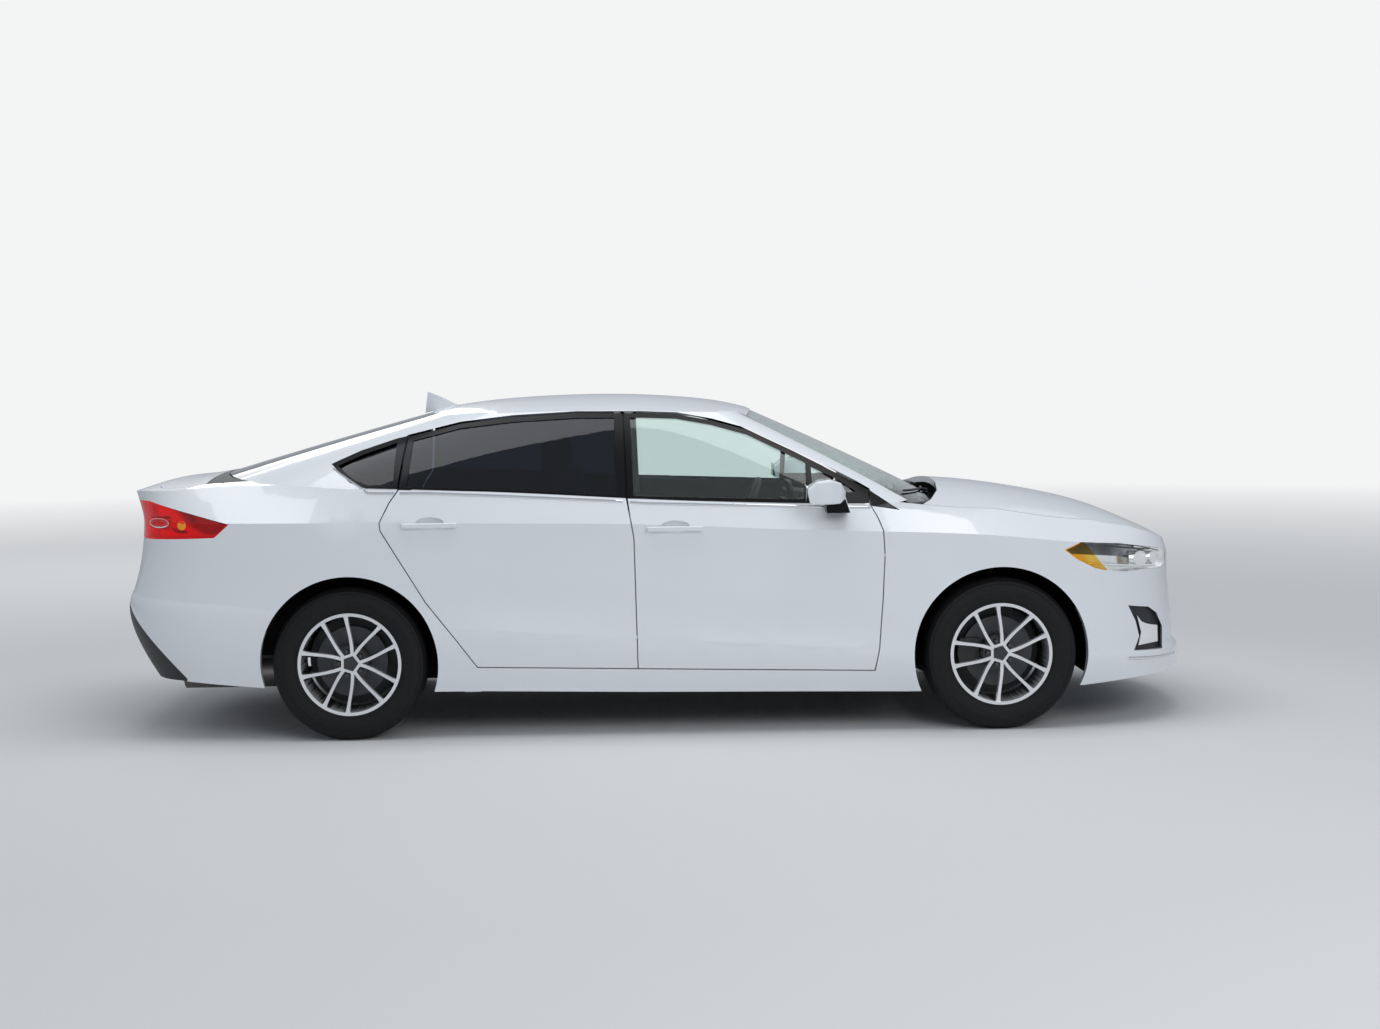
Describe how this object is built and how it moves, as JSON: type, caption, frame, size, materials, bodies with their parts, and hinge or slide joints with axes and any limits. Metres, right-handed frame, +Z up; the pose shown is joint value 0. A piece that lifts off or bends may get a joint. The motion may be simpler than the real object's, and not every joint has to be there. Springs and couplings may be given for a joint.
{
  "type": "four-door sedan car",
  "caption": "Sedan car with opening doors, hood and trunk lid, coupled steering and free-rolling wheels; stands on its tyres.",
  "frame": {"origin": "on the ground under the middle of the car, midway between the bumper tips and between the mirrors", "axes": "+X the way the car drives, +Y its left side, +Z up"},
  "size_m": [4.871, 2.1158, 1.503],
  "materials": {
    "paint": "gloss cool white car paint",
    "paint_plastic": "gloss cool white painted plastic",
    "underbody": "matte dark sealed steel",
    "black_plastic": "moulded black plastic",
    "lamp_housing": "dark moulded lamp tray",
    "lamp_clear": "clear lamp lens",
    "lamp_red": "red lamp lens",
    "glass": "light green tinted glass",
    "glass_dark": "dark tinted glass",
    "interior_plastic": "grained dark grey plastic",
    "seat_fabric": "dark grey woven cloth",
    "engine_alloy": "cast alloy",
    "exhaust_steel": "dull steel pipe",
    "chassis_steel": "black coated steel",
    "wheel_alloy": "machined silver alloy",
    "tyre": "black tread rubber"
  },
  "bodies": {
    "root": {"side_frame_left": "paint", "fender_left": "paint", "side_frame_right": "paint", "fender_right": "paint", "roof_panel": "paint", "floor_pan": "underbody", "firewall": "underbody", "front_bumper": "paint_plastic", "rear_bumper": "paint_plastic", "rear_panel": "paint", "grille": "black_plastic", "headlamps": "lamp_housing", "tail_lamps": "lamp_housing", "headlamp_lenses": "lamp_clear", "tail_lamp_lenses": "lamp_red", "windshield": "glass", "rear_window": "glass_dark", "quarter_windows": "glass_dark", "parcel_shelf": "interior_plastic", "dashboard": "interior_plastic", "front_seats": "seat_fabric", "rear_seat": "seat_fabric", "engine_block": "engine_alloy", "exhaust": "exhaust_steel", "front_subframe": "chassis_steel", "rear_subframe": "chassis_steel", "antenna_fin": "paint_plastic", "wipers": "black_plastic"},
    "hood": {"hood": "paint"},
    "trunk_lid": {"trunk_lid": "paint"},
    "fuel_door": {"fuel_door": "paint"},
    "front_door_left": {"front_door_left": "paint", "front_door_glass_left": "glass", "mirror_left": "paint_plastic"},
    "front_door_right": {"front_door_right": "paint", "front_door_glass_right": "glass", "mirror_right": "paint_plastic"},
    "rear_door_left": {"rear_door_left": "paint", "rear_door_glass_left": "glass_dark"},
    "rear_door_right": {"rear_door_right": "paint", "rear_door_glass_right": "glass_dark"},
    "steering_wheel": {"steering_wheel": "interior_plastic"},
    "knuckle_front_left": {"knuckle_front_left": "chassis_steel"},
    "knuckle_front_right": {"knuckle_front_right": "chassis_steel"},
    "wheel_front_left": {"wheel_front_left": "wheel_alloy", "tyre_front_left": "tyre"},
    "wheel_front_right": {"wheel_front_right": "wheel_alloy", "tyre_front_right": "tyre"},
    "wheel_rear_left": {"wheel_rear_left": "wheel_alloy", "tyre_rear_left": "tyre"},
    "wheel_rear_right": {"wheel_rear_right": "wheel_alloy", "tyre_rear_right": "tyre"}
  },
  "joints": [
    {"name": "front_door_left_swing", "type": "hinge", "parent": "root", "child": "front_door_left", "pos_m": [0.9574, 0.9054, 0.778], "axis": [0, 0, -1], "range_deg": [0, 65]},
    {"name": "rear_door_left_swing", "type": "hinge", "parent": "root", "child": "rear_door_left", "pos_m": [-0.1285, 0.9167, 0.4395], "axis": [0, 0, -1], "range_deg": [0, 65]},
    {"name": "front_door_right_swing", "type": "hinge", "parent": "root", "child": "front_door_right", "pos_m": [0.9574, -0.9054, 0.778], "axis": [0, 0, 1], "range_deg": [0, 65]},
    {"name": "rear_door_right_swing", "type": "hinge", "parent": "root", "child": "rear_door_right", "pos_m": [-0.1285, -0.9167, 0.4395], "axis": [0, 0, 1], "range_deg": [0, 65]},
    {"name": "hood_lift", "type": "hinge", "parent": "root", "child": "hood", "pos_m": [1.085, 0, 0.93], "axis": [0, -1, 0], "range_deg": [0, 50]},
    {"name": "trunk_lid_lift", "type": "hinge", "parent": "root", "child": "trunk_lid", "pos_m": [-1.96, 0, 1.109], "axis": [0, 1, 0], "range_deg": [0, 70]},
    {"name": "fuel_door_swing", "type": "hinge", "parent": "root", "child": "fuel_door", "pos_m": [-1.438, 0.919, 0.865], "axis": [0, 0, -1], "range_deg": [0, 95]},
    {"name": "steering_wheel_turn", "type": "hinge", "parent": "root", "child": "steering_wheel", "pos_m": [0.42, 0.37, 0.88], "axis": [-0.9135, 0, 0.4067], "range_deg": [-525, 525]},
    {"name": "steer_left", "type": "hinge", "parent": "root", "child": "knuckle_front_left", "pos_m": [1.47, 0.735, 0.222], "axis": [0, -0.2493, 0.9684], "range_deg": [-35, 35]},
    {"name": "steer_right", "type": "hinge", "parent": "root", "child": "knuckle_front_right", "pos_m": [1.47, -0.735, 0.222], "axis": [0, 0.2493, 0.9684], "range_deg": [-35, 35]},
    {"name": "spin_front_left", "type": "hinge", "parent": "knuckle_front_left", "child": "wheel_front_left", "pos_m": [1.47, 0.791, 0.3334], "axis": [0, 1, 0], "continuous": true},
    {"name": "spin_front_right", "type": "hinge", "parent": "knuckle_front_right", "child": "wheel_front_right", "pos_m": [1.47, -0.791, 0.3334], "axis": [0, 1, 0], "continuous": true},
    {"name": "spin_rear_left", "type": "hinge", "parent": "root", "child": "wheel_rear_left", "pos_m": [-1.38, 0.7885, 0.3334], "axis": [0, 1, 0], "continuous": true},
    {"name": "spin_rear_right", "type": "hinge", "parent": "root", "child": "wheel_rear_right", "pos_m": [-1.38, -0.7885, 0.3334], "axis": [0, 1, 0], "continuous": true}
  ],
  "couplings": [
    {"joint": "steer_right", "follows": "steer_left", "ratio": 1},
    {"joint": "steering_wheel_turn", "follows": "steer_left", "ratio": 15}
  ]
}
